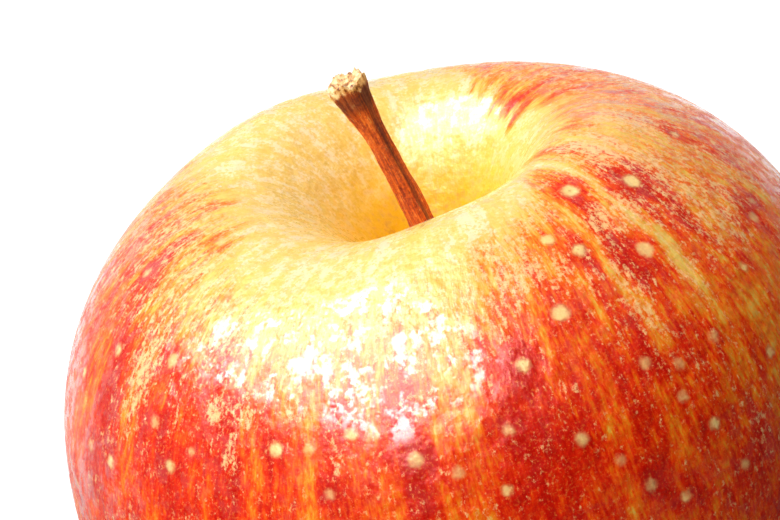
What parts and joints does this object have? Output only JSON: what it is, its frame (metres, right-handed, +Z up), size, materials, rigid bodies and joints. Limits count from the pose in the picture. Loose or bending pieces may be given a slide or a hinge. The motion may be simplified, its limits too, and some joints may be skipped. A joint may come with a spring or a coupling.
{
  "type": "apple",
  "caption": "Round fresh apple that stands upright on its base, with a leaning woody stem in a deep cavity and a dried flower end underneath.",
  "frame": {"origin": "centre of the bottom of the part's box, on the plane its base lobes stand on", "axes": "+Z up along the core towards the stem, -Y towards the front, +X to the right seen from the front"},
  "size_m": [0.0808, 0.0792, 0.0749],
  "materials": {
    "skin": "gloss",
    "bark": "matte",
    "sepal": "matte",
    "stamen": "matte"
  },
  "bodies": {
    "root": {"fruit": "skin", "stem": "bark", "sepal_1": "sepal", "sepal_2": "sepal", "sepal_3": "sepal", "sepal_4": "sepal", "sepal_5": "sepal", "stamen_tuft": "stamen"}
  },
  "joints": []
}
